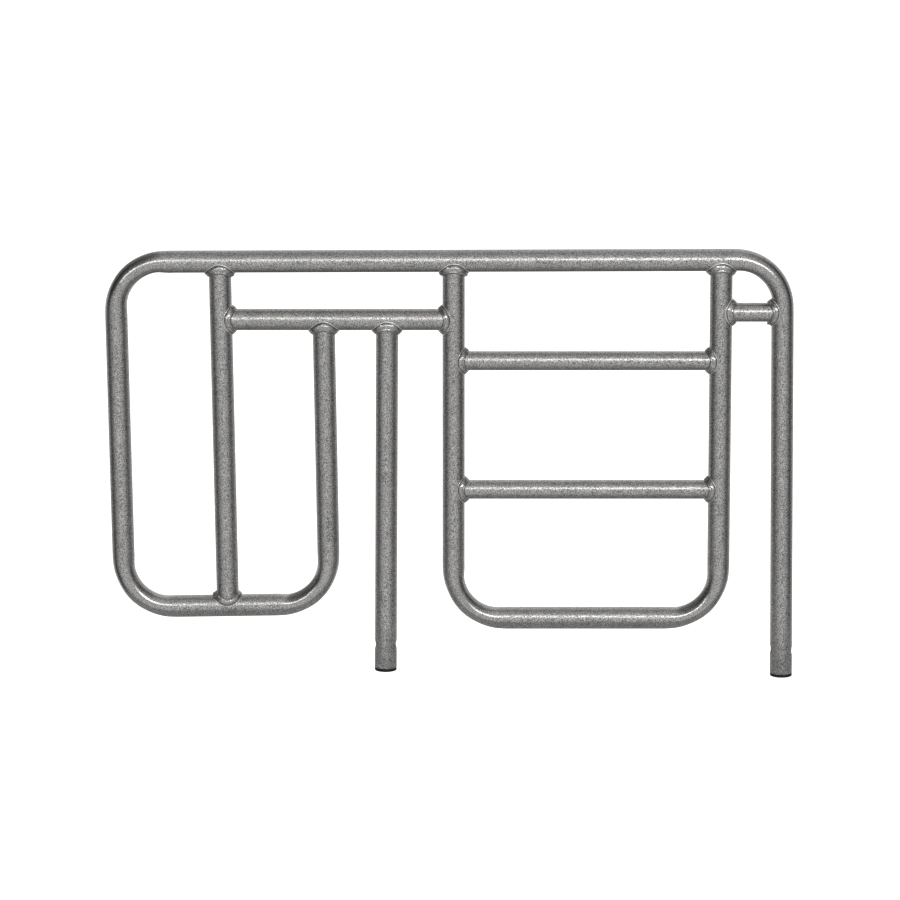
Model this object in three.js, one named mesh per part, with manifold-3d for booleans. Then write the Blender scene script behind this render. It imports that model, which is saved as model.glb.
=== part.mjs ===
// Bed assist rail: a flat welded frame of round steel tube with two legs that drop into a bed's side sockets.
// Millimetres. The origin is the middle of the long leg's end face, +X runs along the rail away from the
// grab loop, +Z is up, and -Y is the front. Every tube's axis lies in the plane y = 0.
import * as THREE from 'three';
import { mergeVertices } from 'three/addons/utils/BufferGeometryUtils.js';
import Module from 'manifold-3d';

const wasm = await Module();
wasm.setup();

// Tube stock
const MAIN_DIAMETER = 22.2;
const CROSSBAR_DIAMETER = 21.3;
const RUNG_DIAMETER = 19.05;
const WALL = 1.5;
const BEND_RADIUS = 46.4;

// Axis corners of the main frame tube, as (x, z)
const LONG_LEG_FOOT = [0, 0];
const TOP_RIGHT_CORNER = [-5.3, 423.5];
const TOP_LEFT_CORNER = [-666.8, 421.4];
const LOOP_BOTTOM_LEFT = [-662.4, 71.2];
const LOOP_BOTTOM_RIGHT = [-456.3, 74.2];

// Where the other tubes meet the main frame tube and each other, at their axes
const CROSSBAR_Z = 363.8;
const LOOP_POST_TOP_X = -460.4;
const INNER_POST_TOP_X = -562.9;
const INNER_POST_BOTTOM_X = -558.6;
const SHORT_LEG_TOP_X = -397.2;
const SHORT_LEG_FOOT = [-399.8, 5.9];
const LADDER_LEFT_X = -331.2;
const LADDER_RIGHT_TOP_X = -65.9;
const LADDER_BOTTOM_Z = 59.8;
const LADDER_BOTTOM_RIGHT_X = -64.7;
const UPPER_RUNG_Z = 322.4;
const LOWER_RUNG_Z = 191.9;
const SPACER_Z = 371.1;

// Welds: the leg of the fillet along each tube, and how the bead wraps round the front and back
const WELD_LEG = 4.7;
const WELD_TOE_HEIGHT = 3;
const WELD_BELLY = 0.7;
const WELD_DEPTH_SCALE = 0.86;

// Locking-pin hole through each leg, above the leg's end
const PIN_HOLE_DIAMETER = 9.5;
const PIN_HOLE_HEIGHT = 26.7;
const PIN_HOLE_SIDES = 16;

// End plugs
const PLUG_FLANGE = 2.7;
const PLUG_CHAMFER = 1;
const PLUG_STEM = 12;
const PLUG_STEM_WALL = 2;
const PLUG_BARBS = 2;
const PLUG_BARB_HEIGHT = 0.5;

// Gap kept between pieces that touch, and how far a coped tube end stands off the other tube's axis
const GAP = 0.3;
const COPE_STANDOFF = 5;

// Facets
const TUBE_SIDES = 20;
const BORE_SIDES = 12;
const BEND_STEPS = 6;
const WELD_SIDES = 16;
const PLUG_SIDES = 20;

const steel = { color: 0x999b9b, roughness: 0.42, metalness: 0.7 };
const weldMetal = { color: 0xa4a6a6, roughness: 0.3, metalness: 0.75 };
const blackPlastic = { color: 0x161617, roughness: 0.55, metalness: 0 };

const assembly = new THREE.Group();

// ---- Points and paths in the plane y = 0 ----

const inPlane = ([x, z]) => new THREE.Vector3(x, 0, z);

// The point of the line from a to b that has the given x, or the given z
function atX(a, b, x) {
  return a.clone().lerp(b, (x - a.x) / (b.x - a.x));
}

function atZ(a, b, z) {
  return a.clone().lerp(b, (z - a.z) / (b.z - a.z));
}

// A tube path that steps from station to station: straight runs need one step, bends need several
class StationPath extends THREE.Curve {
  constructor(stations) {
    super();
    this.stations = stations;
  }

  station(u) {
    return this.stations[Math.round(u * (this.stations.length - 1))];
  }

  getPointAt(u) {
    return this.station(u).point.clone();
  }

  getTangentAt(u) {
    return this.station(u).tangent.clone();
  }
}

// Stations along the corners, with each inner corner rounded to the bend radius
function bentPath(corners) {
  const legs = corners.slice(1).map((corner, i) => corner.clone().sub(corners[i]).normalize());
  const stations = [{ point: corners[0], tangent: legs[0] }];
  for (let i = 1; i < corners.length - 1; i += 1) {
    const [before, after] = [legs[i - 1], legs[i]];
    const turn = before.angleTo(after);
    const start = corners[i].clone().addScaledVector(before, -BEND_RADIUS * Math.tan(turn / 2));
    const inward = after.clone().addScaledVector(before, -after.dot(before)).normalize();
    for (let step = 0; step <= BEND_STEPS; step += 1) {
      const angle = (turn * step) / BEND_STEPS;
      const point = start
        .clone()
        .addScaledVector(before, BEND_RADIUS * Math.sin(angle))
        .addScaledVector(inward, BEND_RADIUS * (1 - Math.cos(angle)));
      const tangent = before.clone().multiplyScalar(Math.cos(angle)).addScaledVector(inward, Math.sin(angle));
      stations.push({ point, tangent });
    }
  }
  stations.push({ point: corners.at(-1), tangent: legs.at(-1) });
  return stations;
}

// The corners with each end moved along its own run: outwards by a positive length
function stretched(corners, atStart, atEnd) {
  const moved = corners.map((corner) => corner.clone());
  moved[0].addScaledVector(corners[0].clone().sub(corners[1]).normalize(), atStart);
  moved.at(-1).addScaledVector(corners.at(-1).clone().sub(corners.at(-2)).normalize(), atEnd);
  return moved;
}

// ---- Solids ----

function solidOf(geometry) {
  geometry.deleteAttribute('normal');
  geometry.deleteAttribute('uv');
  const merged = mergeVertices(geometry);
  const vertProperties = new Float32Array(merged.attributes.position.array);
  const triVerts = new Uint32Array(merged.index.array);
  return new wasm.Manifold(new wasm.Mesh({ numProp: 3, vertProperties, triVerts }));
}

function rod(corners, radius, sides) {
  const stations = bentPath(corners);
  const circle = new THREE.Shape().absarc(0, 0, radius, 0, 2 * Math.PI);
  const options = {
    steps: stations.length - 1,
    curveSegments: sides / 2,
    bevelEnabled: false,
    extrudePath: new StationPath(stations),
  };
  return solidOf(new THREE.ExtrudeGeometry(circle, options));
}

function addPiece(name, solid, look) {
  const { vertProperties, triVerts } = solid.getMesh();
  const geometry = new THREE.BufferGeometry();
  geometry.setAttribute('position', new THREE.BufferAttribute(vertProperties, 3));
  geometry.setIndex(new THREE.BufferAttribute(triVerts, 1));
  geometry.computeVertexNormals();
  const mesh = new THREE.Mesh(geometry, new THREE.MeshStandardMaterial(look));
  mesh.name = name;
  assembly.add(mesh);
}

// ---- Tubes ----

// A tube's outer skin grown by the gap: what is cut from a piece that lies against it
function clearance(tube) {
  return rod(tube.corners, tube.diameter / 2 + GAP, TUBE_SIDES);
}

// A tube with open ends, coped round each tube that it is welded onto, and with any pin hole drilled
function tubeSolid(tube) {
  const ends = tube.welds.map((weld) => (weld ? -COPE_STANDOFF : 0));
  const outer = rod(stretched(tube.corners, ...ends), tube.diameter / 2, TUBE_SIDES);
  const bore = rod(stretched(tube.corners, WALL, WALL), tube.diameter / 2 - WALL, BORE_SIDES);
  let solid = outer.subtract(bore);
  for (const weld of tube.welds.filter(Boolean)) {
    solid = solid.subtract(clearance(weld.onto));
  }
  return tube.foot ? solid.subtract(pinHole(tube.foot)) : solid;
}

function pinHole(foot) {
  const radius = PIN_HOLE_DIAMETER / 2;
  const drill = new THREE.CylinderGeometry(radius, radius, 2 * MAIN_DIAMETER, PIN_HOLE_SIDES);
  drill.rotateZ(Math.PI / 2);
  drill.translate(foot.x, foot.y, foot.z + PIN_HOLE_HEIGHT);
  return solidOf(drill);
}

// ---- Weld beads ----

// A fillet ring round the branch tube's end. Its toe on the parent tube drops to WELD_TOE_HEIGHT from the
// parent's axis at the front and back, and its other toe climbs the branch by the fillet's leg.
function weldBead(branch, end, parent) {
  const branchRadius = branch.diameter / 2;
  const parentRadius = parent.diameter / 2;
  const joint = branch.corners.at(end);
  const neighbour = branch.corners.at(end === 0 ? 1 : -2);
  const away = neighbour.clone().sub(joint).normalize();

  const toeRadius = Math.sqrt((parentRadius + GAP) ** 2 - WELD_TOE_HEIGHT ** 2) / WELD_DEPTH_SCALE;
  const outline = [
    [0, WELD_TOE_HEIGHT],
    [toeRadius, WELD_TOE_HEIGHT],
    [branchRadius + WELD_LEG, WELD_BELLY * parentRadius],
    [branchRadius + WELD_LEG, parentRadius],
    [branchRadius, parentRadius + WELD_LEG],
    [0, parentRadius + WELD_LEG],
  ].map(([radius, height]) => new THREE.Vector2(radius, height));
  const collar = new THREE.LatheGeometry(outline, WELD_SIDES);
  collar.rotateX(Math.PI / 2);
  collar.scale(1, WELD_DEPTH_SCALE, 1);
  collar.rotateY(Math.atan2(away.x, away.z));
  collar.translate(joint.x, joint.y, joint.z);

  const standoff = COPE_STANDOFF - GAP;
  const skin = stretched([joint, neighbour], -standoff, 0);
  return solidOf(collar)
    .subtract(rod(skin, branchRadius + GAP, TUBE_SIDES))
    .subtract(clearance(parent));
}

// ---- End plugs ----

// A flanged cap with a chamfered rim and a hollow, barbed stem that fills the end of the leg's bore
function plugSolid(foot) {
  const flangeRadius = MAIN_DIAMETER / 2;
  const boreFlat = (flangeRadius - WALL) * Math.cos(Math.PI / BORE_SIDES);
  const barbRadius = boreFlat - GAP;
  const stemRadius = barbRadius - PLUG_BARB_HEIGHT;
  const outline = [
    [0, 0],
    [flangeRadius - PLUG_CHAMFER, 0],
    [flangeRadius, PLUG_CHAMFER],
    [flangeRadius, PLUG_FLANGE],
    [stemRadius, PLUG_FLANGE],
  ];
  const pitch = PLUG_STEM / PLUG_BARBS;
  for (let barb = 0; barb < PLUG_BARBS; barb += 1) {
    const base = PLUG_FLANGE + barb * pitch;
    outline.push([stemRadius, base + pitch / 2], [barbRadius, base + pitch / 2], [stemRadius, base + pitch]);
  }
  outline.push([stemRadius - PLUG_STEM_WALL, PLUG_FLANGE + PLUG_STEM]);
  outline.push([stemRadius - PLUG_STEM_WALL, PLUG_FLANGE + PLUG_STEM_WALL]);
  outline.push([0, PLUG_FLANGE + PLUG_STEM_WALL]);
  const cap = new THREE.LatheGeometry(outline.map(([radius, z]) => new THREE.Vector2(radius, z)), PLUG_SIDES);
  cap.rotateX(Math.PI / 2);
  cap.translate(foot.x, foot.y, foot.z);
  return solidOf(cap);
}

// ---- The frame ----

// Axis corners
const longLegFoot = inPlane(LONG_LEG_FOOT);
const topRight = inPlane(TOP_RIGHT_CORNER);
const topLeft = inPlane(TOP_LEFT_CORNER);
const loopBottomLeft = inPlane(LOOP_BOTTOM_LEFT);
const loopBottomRight = inPlane(LOOP_BOTTOM_RIGHT);
const shortLegFoot = inPlane(SHORT_LEG_FOOT);

const innerPostTop = atX(topLeft, topRight, INNER_POST_TOP_X);
const innerPostBottom = atX(loopBottomLeft, loopBottomRight, INNER_POST_BOTTOM_X);
const loopPostTop = inPlane([LOOP_POST_TOP_X, CROSSBAR_Z]);
const crossbarLeft = atZ(innerPostTop, innerPostBottom, CROSSBAR_Z);
const crossbarRight = inPlane([LADDER_LEFT_X, CROSSBAR_Z]);
const shortLegTop = inPlane([SHORT_LEG_TOP_X, CROSSBAR_Z]);

const ladderLeftTop = atX(topLeft, topRight, LADDER_LEFT_X);
const ladderBottomLeft = inPlane([LADDER_LEFT_X, LADDER_BOTTOM_Z]);
const ladderBottomRight = inPlane([LADDER_BOTTOM_RIGHT_X, LADDER_BOTTOM_Z]);
const ladderRightTop = atX(topLeft, topRight, LADDER_RIGHT_TOP_X);
const spacerLeft = atZ(ladderRightTop, ladderBottomRight, SPACER_Z);
const spacerRight = atZ(longLegFoot, topRight, SPACER_Z);

// A leg's tube stops above its plug's flange
const aboveFlange = (foot, next) => atZ(foot, next, foot.z + PLUG_FLANGE + GAP);

function tubeAlong(name, diameter, corners) {
  return { name, diameter, corners, welds: [null, null], foot: null };
}

const mainFrame = tubeAlong('main_frame_tube', MAIN_DIAMETER, [
  aboveFlange(longLegFoot, topRight),
  topRight,
  topLeft,
  loopBottomLeft,
  loopBottomRight,
  loopPostTop,
]);
mainFrame.foot = longLegFoot;

const innerPost = tubeAlong('grab_loop_inner_post', MAIN_DIAMETER, [innerPostTop, innerPostBottom]);
const crossbar = tubeAlong('crossbar_tube', CROSSBAR_DIAMETER, [crossbarLeft, crossbarRight]);
const shortLeg = tubeAlong('short_leg_tube', MAIN_DIAMETER, [
  shortLegTop,
  aboveFlange(shortLegFoot, shortLegTop),
]);
shortLeg.foot = shortLegFoot;

const ladderU = tubeAlong('ladder_u_tube', MAIN_DIAMETER, [
  ladderLeftTop,
  ladderBottomLeft,
  ladderBottomRight,
  ladderRightTop,
]);

function rungAt(name, z) {
  const left = atZ(ladderLeftTop, ladderBottomLeft, z);
  const right = atZ(ladderRightTop, ladderBottomRight, z);
  return tubeAlong(name, RUNG_DIAMETER, [left, right]);
}

const upperRung = rungAt('upper_rung_tube', UPPER_RUNG_Z);
const lowerRung = rungAt('lower_rung_tube', LOWER_RUNG_Z);
const spacer = tubeAlong('corner_spacer_tube', RUNG_DIAMETER, [spacerLeft, spacerRight]);

// Each joint: the bead's name, the branch tube, which of its ends (0 first, -1 last), and the tube it meets
const joints = [
  ['weld_loop_post_to_crossbar', mainFrame, -1, crossbar],
  ['weld_inner_post_to_top_rail', innerPost, 0, mainFrame],
  ['weld_inner_post_to_loop_bottom', innerPost, -1, mainFrame],
  ['weld_crossbar_to_inner_post', crossbar, 0, innerPost],
  ['weld_crossbar_to_ladder', crossbar, -1, ladderU],
  ['weld_short_leg_to_crossbar', shortLeg, 0, crossbar],
  ['weld_ladder_left_to_top_rail', ladderU, 0, mainFrame],
  ['weld_ladder_right_to_top_rail', ladderU, -1, mainFrame],
  ['weld_upper_rung_left', upperRung, 0, ladderU],
  ['weld_upper_rung_right', upperRung, -1, ladderU],
  ['weld_lower_rung_left', lowerRung, 0, ladderU],
  ['weld_lower_rung_right', lowerRung, -1, ladderU],
  ['weld_spacer_to_ladder', spacer, 0, ladderU],
  ['weld_spacer_to_long_leg', spacer, -1, mainFrame],
];
for (const [, branch, end, onto] of joints) {
  branch.welds[end === 0 ? 0 : 1] = { onto };
}

for (const tube of [mainFrame, innerPost, crossbar, shortLeg, ladderU, upperRung, lowerRung, spacer]) {
  addPiece(tube.name, tubeSolid(tube), steel);
}
for (const [name, branch, end, onto] of joints) {
  addPiece(name, weldBead(branch, end, onto), weldMetal);
}
addPiece('long_leg_end_plug', plugSolid(longLegFoot), blackPlastic);
addPiece('short_leg_end_plug', plugSolid(shortLegFoot), blackPlastic);

export default assembly;
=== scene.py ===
import math
import random

import bmesh
import bpy
import numpy as np
from mathutils import Matrix, Vector


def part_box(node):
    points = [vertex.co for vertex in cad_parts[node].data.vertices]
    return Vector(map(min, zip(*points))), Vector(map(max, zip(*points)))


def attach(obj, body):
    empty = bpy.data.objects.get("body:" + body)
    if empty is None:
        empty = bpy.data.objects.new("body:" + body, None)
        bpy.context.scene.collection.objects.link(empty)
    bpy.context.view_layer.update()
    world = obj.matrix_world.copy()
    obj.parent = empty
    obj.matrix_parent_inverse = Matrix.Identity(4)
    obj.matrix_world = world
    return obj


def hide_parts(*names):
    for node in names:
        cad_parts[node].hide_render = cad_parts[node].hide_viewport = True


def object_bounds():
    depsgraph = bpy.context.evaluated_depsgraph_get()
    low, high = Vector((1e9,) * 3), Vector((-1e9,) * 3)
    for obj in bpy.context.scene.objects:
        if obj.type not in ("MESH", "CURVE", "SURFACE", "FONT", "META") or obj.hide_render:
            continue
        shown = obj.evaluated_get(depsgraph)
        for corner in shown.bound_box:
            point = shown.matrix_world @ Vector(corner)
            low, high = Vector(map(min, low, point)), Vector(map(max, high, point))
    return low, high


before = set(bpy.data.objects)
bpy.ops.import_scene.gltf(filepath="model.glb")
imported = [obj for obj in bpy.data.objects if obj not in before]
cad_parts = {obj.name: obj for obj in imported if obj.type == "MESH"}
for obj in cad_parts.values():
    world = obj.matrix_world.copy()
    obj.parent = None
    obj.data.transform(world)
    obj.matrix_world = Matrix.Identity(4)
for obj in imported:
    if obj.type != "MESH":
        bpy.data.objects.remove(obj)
cad_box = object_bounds()

# A welded steel bed rail of bent and coped tube, lying in the plane y = 0. Everything is in metres.
MM = 0.001

# Tube
BEND_RADIUS = 46.4 * MM
WALL = 1.5 * MM
COPE_GAP = 0.3 * MM
COPE_STANDOFF = 5 * MM
TUBE_SIDES = 64
SHARP_EDGE = math.radians(40)

# Rings of points along a tube: every few degrees of a bend, closer where the die marks it, and none in the
# last stretch before a coped end
BEND_STEP = math.radians(3)
RINGS_BEFORE_BEND = [k / 100 for k in range(-30, 12)]
RINGS_AFTER_BEND = [1 + k / 50 for k in range(1, 10)]
MIN_RING_GAP = 0.2 * MM
COPE_CLEARANCE = 6 * MM

# Clamp marks and flattening that the bending die leaves. Places are shares of the bend, from its start, and a
# pair is where a change begins and ends.
CLAMP_INSIDE = (-0.08, 0.16)
CLAMP_OUTSIDE = (-0.12, 0.3)
CLAMP_RIDGE = 0.12 * MM
CLAMP_RIDGE_AT = -0.1
CLAMP_RIDGE_WIDTH = 0.05
EASE_OUT = (0.65, 1.12)
SIDE_BULGE = 0.45
SMOOTH_IN = (-0.25, 0.2)
SMOOTH_OUT = (0.8, 1.2)

# Pin holes through the legs: height above the end of the plug, and the tube's extra rings round them
PIN_HOLE_DIAMETER = 9.5 * MM
PIN_HOLE_HEIGHT = 26.7 * MM
PIN_HOLE_SIDES = 48
DRILL_LENGTH = 60 * MM
HOLE_RINGS = [k * 1.5 * MM for k in range(8, 26)]

# Weld beads. The parent is the tube that the joint sits on and the branch is the tube that ends there. The
# leg is how far the bead reaches along the parent and the crown is how far it bulges. Both drift round it.
WELD_LEG = 4.7 * MM
WELD_LEG_DRIFT = 0.25 * MM
WELD_TOE_DRIFT = 0.3 * MM
WELD_SINK = 0.15 * MM
WELD_ROOT_INSET = 0.5 * MM
WELD_SIDE_SHARPNESS = 1.8
WELD_CROWN_SIDE = 0.55 * MM
WELD_CROWN_FRONT = 1.7 * MM
WELD_CROWN_DRIFT = 0.2
WELD_WAVES = 6
WELD_TOE_WAVES = 9
WELD_ROUND_STEPS = 200
WELD_CROWN_STEPS = 40
WELD_SHARP_EDGE = math.radians(60)

# Ripples across the bead, spaced along its middle, which lies a little outside the branch
WELD_RIPPLE = 0.015 * MM
WELD_RIPPLE_PITCH = 1.8 * MM
WELD_RIPPLE_BOW = 6
WELD_MIDDLE = 2 * MM

# The bead's section, from the parent's toe (0) to the branch's toe (1). The lip and the groove have a place,
# a width and a height or depth, the shoulder has (place, height) steps, and the tail is the soft edge. The
# two crease shades are bands of painted shade, each with a place, a width and, at the branch's toe, a
# strength; the lip also gets a painted highlight.
WELD_LIP = (0.062, 0.06, 0.36)
WELD_CREASE_SHADE = (0.17, 0.055)
WELD_BRANCH_CREASE_SHADE = (1.0, 0.055, 0.25)
WELD_SHOULDER = ((0.14, 0.0), (0.2, 0.5), (0.38, 0.92), (0.48, 1.0))
WELD_GROOVE = (0.74, 0.07, 0.22)
WELD_GROOVE_DRIFT = 0.04
WELD_TAIL = 0.2

# Half-widths of a lump on a bead: round the joint in radians, and across the bead as a share of it
WELD_LUMP_WIDTH = (0.13, 0.16)

# End plugs: how far the rim shows below the tube, its gap to the tube's end, and how far it stays inside the
# tube's outside. The stem's and the barbs' clearances are to the bore.
PLUG_SIDES = 72
PLUG_REVEAL = 0.4 * MM
PLUG_SEAT = 0.1 * MM
PLUG_RIM_CLEARANCE = 0.05 * MM
PLUG_RIM_ROUND = 0.8 * MM
PLUG_EDGE_ROUND = 0.3 * MM
PLUG_STEM_CLEARANCE = 0.6 * MM
PLUG_STEM_WALL = 1.6 * MM
PLUG_STEM_TAPER = 0.1 * MM
PLUG_STEM_ROUND = 0.4 * MM
PLUG_BARB_CLEARANCE = 0.15 * MM

# Where the barbs start, as shares of the stem, and how far above that each is full, starts to fall and ends
PLUG_BARB_PLACES = (0.25, 0.6)
PLUG_BARB_HEIGHTS = (0.3 * MM, 0.8 * MM, 1.8 * MM)

# Where x and z are in a point
ACROSS = {"x": 0, "z": 2}


# ---------------------------------------------------------------- reading the frame

def fractions(node, axis, shares):
    """Places at the given shares of a node's box along one axis."""
    low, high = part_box(node)
    i = ACROSS[axis]
    return [low[i] + (high[i] - low[i]) * share for share in shares]


def cut_middle(node, axis, at, low, high):
    """Where the middle of a tube lies in the plane axis = at, among the walls found between low and high."""
    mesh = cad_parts[node].data
    points = np.array([v.co for v in mesh.vertices])
    edges = np.array([e.vertices for e in mesh.edges])
    i = ACROSS[axis]
    other = ACROSS["z" if axis == "x" else "x"]
    start, end = points[edges[:, 0]], points[edges[:, 1]]
    crossing = (start[:, i] - at) * (end[:, i] - at) < 0
    start, end = start[crossing], end[crossing]
    share = (at - start[:, i]) / (end[:, i] - start[:, i])
    found = start[:, other] + (end[:, other] - start[:, other]) * share
    found = found[(found > low) & (found < high)]
    return (found.min() + found.max()) / 2


def axis_line(node, axis, cuts=(0.3, 0.7), window=(-0.2, 1.2)):
    """Point and direction (x, z) of a straight run of a node. Cuts and window are shares of its box."""
    other = "z" if axis == "x" else "x"
    low, high = fractions(node, other, window)
    ends = []
    for at in fractions(node, axis, cuts):
        middle = cut_middle(node, axis, at, low, high)
        ends.append(np.array([at, middle] if axis == "x" else [middle, at]))
    direction = ends[1] - ends[0]
    return ends[0], direction / np.linalg.norm(direction)


def crossing(line_a, line_b):
    """Where two axis lines meet."""
    (p, d), (q, e) = line_a, line_b
    share = np.linalg.solve(np.array([d, -e]).T, q - p)[0]
    return p + d * share


def at_height(line, z):
    """The point of an axis line at one height."""
    p, d = line
    return p + d * (z - p[1]) / d[1]


def radius_of(node):
    """Half of a node's depth, front to back."""
    low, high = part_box(node)
    return (high.y - low.y) / 2


# ---------------------------------------------------------------- routes

class Route:
    """A route in the plane y = 0: straight runs joined by bends of one radius, measured by length along it.
    Each piece is its first length, its size, its first point, its first direction and its turn."""

    def __init__(self, corners, radius):
        self.pieces = []
        self.bends = []
        self.length = 0.0
        here = corners[0]
        for before, corner, after in zip(corners, corners[1:], corners[2:]):
            into = (corner - before) / np.linalg.norm(corner - before)
            out = (after - corner) / np.linalg.norm(after - corner)
            turn = math.atan2(into[0] * out[1] - into[1] * out[0], into @ out)
            back = radius * math.tan(abs(turn) / 2)
            self.add_run(here, corner - into * back)
            self.add_bend(corner - into * back, into, turn, radius)
            here = corner + out * back
        self.add_run(here, corners[-1])

    def add_run(self, start, end):
        size = np.linalg.norm(end - start)
        self.pieces.append((self.length, size, start, (end - start) / size, 0.0))
        self.length += size

    def add_bend(self, start, into, turn, radius):
        size = abs(turn) * radius
        self.pieces.append((self.length, size, start, into, turn))
        self.bends.append((self.length, self.length + size))
        self.length += size

    def at(self, s):
        """Point and direction at length s; the straight ends run on past the route."""
        piece = self.pieces[0]
        for candidate in self.pieces:
            if s >= candidate[0]:
                piece = candidate
        begin, size, start, into, turn = piece
        if turn == 0:
            return start + into * (s - begin), into
        left = np.array([-into[1], into[0]]) * math.copysign(1, turn)
        angle = abs(turn) * (s - begin) / size
        radius = size / abs(turn)
        point = start + radius * (into * math.sin(angle) + left * (1 - math.cos(angle)))
        return point, into * math.cos(angle) + left * math.sin(angle)

    def stations(self, low, high, extra=()):
        """Lengths for rings from low to high: close together in and around the bends."""
        marks = [low, high, *extra]
        for begin, end in self.bends:
            size = end - begin
            steps = round(size / (BEND_RADIUS * BEND_STEP))
            marks += [begin + size * k / steps for k in range(steps + 1)]
            marks += [begin + size * share for share in RINGS_BEFORE_BEND + RINGS_AFTER_BEND]
        marks = sorted(m for m in marks if low <= m <= high)
        kept = marks[:1]
        for mark in marks[1:]:
            if mark - kept[-1] > MIN_RING_GAP:
                kept.append(mark)
        return kept


def smooth_step(low, high, value):
    """0 below low, 1 above high, and an S curve between them."""
    t = min(1.0, max(0.0, (value - low) / (high - low)))
    return t * t * (3 - 2 * t)


# ---------------------------------------------------------------- mesh helpers

def make_piece(name, points, faces, replaced, material):
    """A shaded mesh object that stands for a CAD node and rides on the body."""
    mesh = bpy.data.meshes.new(name)
    mesh.from_pydata([tuple(p) for p in points], [], faces)
    mesh.validate()
    editor = bmesh.new()
    editor.from_mesh(mesh)
    bmesh.ops.recalc_face_normals(editor, faces=editor.faces)
    editor.to_mesh(mesh)
    editor.free()
    mesh.shade_smooth()
    piece = bpy.data.objects.new(name, mesh)
    bpy.context.scene.collection.objects.link(piece)
    mesh.materials.append(material)
    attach(piece, "root")
    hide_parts(replaced)
    return piece


def add_values(piece, name, values):
    """A number for each point of a piece, which its material reads."""
    piece.data.attributes.new(name, "FLOAT", "POINT").data.foreach_set("value", values)


def ring_faces(rings, sides, closed):
    """Quads between neighbouring rings of points; closed joins the last ring to the first."""
    faces = []
    for r in range(rings if closed else rings - 1):
        for k in range(sides):
            a, b = r * sides + k, r * sides + (k + 1) % sides
            c = (r + 1) % rings * sides + (k + 1) % sides
            d = (r + 1) % rings * sides + k
            faces.append((a, b, c, d))
    return faces


# ---------------------------------------------------------------- tubes

class Cope:
    """A tube end cut to sit round another tube: the parent's axis line and radius."""

    def __init__(self, line, radius):
        self.point, self.direction = line
        self.radius = radius

    def reach(self, start, along, left, offset, depth):
        """How far along the tube its wall is cut, at an offset to the left and a depth out of the plane."""
        across = np.array([-self.direction[1], self.direction[0]])
        if across @ along < 0:
            across = -across
        height = math.sqrt(max(0.0, self.radius ** 2 - depth ** 2)) + COPE_GAP
        height = max(height, COPE_STANDOFF)
        return (height - (start - self.point) @ across - offset * (left @ across)) / (along @ across)


def flattening(route, s, marks):
    """At length s: the half-width lost on the inside and the outside of a bend, and how far into a bend it
    is. Marks are each bend's greatest losses, inside and outside."""
    inside = outside = depth = 0.0
    for (begin, end), (loss_in, loss_out) in zip(route.bends, marks):
        f = (s - begin) / (end - begin)
        ease = 1 - smooth_step(*EASE_OUT, f)
        ridge = CLAMP_RIDGE * math.exp(-((f - CLAMP_RIDGE_AT) / CLAMP_RIDGE_WIDTH) ** 2)
        inside += loss_in * smooth_step(*CLAMP_INSIDE, f) * ease - ridge
        outside += loss_out * smooth_step(*CLAMP_OUTSIDE, f) * ease
        depth = max(depth, smooth_step(*SMOOTH_IN, f) * (1 - smooth_step(*SMOOTH_OUT, f)))
    return inside, outside, depth


def section_points(route, s, radius, wall, marks, shifts=None):
    """One ring of a tube's outside (wall 0) or inside, with each point shifted along the tube if asked."""
    point, along = route.at(s)
    left = np.array([-along[1], along[0]])
    inside, outside, depth = flattening(route, s, marks)
    half_depth = radius + SIDE_BULGE * (inside + outside) / 2 - wall
    points = []
    for k in range(TUBE_SIDES):
        angle = 2 * math.pi * k / TUBE_SIDES
        half_width = radius - wall - (inside if math.cos(angle) > 0 else outside)
        offset = half_width * math.cos(angle)
        place = point + left * offset + along * (shifts[k] if shifts else 0.0)
        points.append((place[0], half_depth * math.sin(angle), place[1]))
    return points, depth


def cope_shifts(route, s, radius, wall, cope, sign):
    """Shift of each wall point from the square ring at s to the coped end."""
    point, along = route.at(s)
    left = np.array([-along[1], along[0]])
    shifts = []
    for k in range(TUBE_SIDES):
        angle = 2 * math.pi * k / TUBE_SIDES
        offset = (radius - wall) * math.cos(angle)
        depth = (radius - wall) * math.sin(angle)
        shifts.append(sign * cope.reach(point, along * sign, left, offset, depth))
    return shifts


def tube_rings(route, radius, wall, marks, start_cope, end_cope, extra):
    """Rings of one wall surface from the route's start to its end, with how far each is into a bend."""
    low = COPE_CLEARANCE + start_cope.radius if start_cope else 0.0
    high = route.length - (COPE_CLEARANCE + end_cope.radius if end_cope else 0.0)
    rings = []
    if start_cope:
        shifts = cope_shifts(route, 0.0, radius, wall, start_cope, 1)
        rings.append(section_points(route, 0.0, radius, wall, marks, shifts))
    for s in route.stations(low, high, extra):
        rings.append(section_points(route, s, radius, wall, marks))
    if end_cope:
        shifts = cope_shifts(route, route.length, radius, wall, end_cope, -1)
        rings.append(section_points(route, route.length, radius, wall, marks, shifts))
    return rings


def make_tube(name, route, radius, marks=(), start=None, end=None, extra=()):
    """A hollow tube as one closed mesh: outside, coped or square ends, and inside."""
    outer = tube_rings(route, radius, 0.0, marks, start, end, extra)
    inner = tube_rings(route, radius, WALL, marks, start, end, extra)
    rings = outer + inner[::-1]
    points = [p for ring, _ in rings for p in ring]
    faces = ring_faces(len(rings), TUBE_SIDES, True)
    piece = make_piece(name, points, faces, name, COAT)
    add_values(piece, "bend", [depth for _, depth in rings for _ in range(TUBE_SIDES)])
    piece.data.set_sharp_from_angle(angle=SHARP_EDGE)
    return piece


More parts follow.
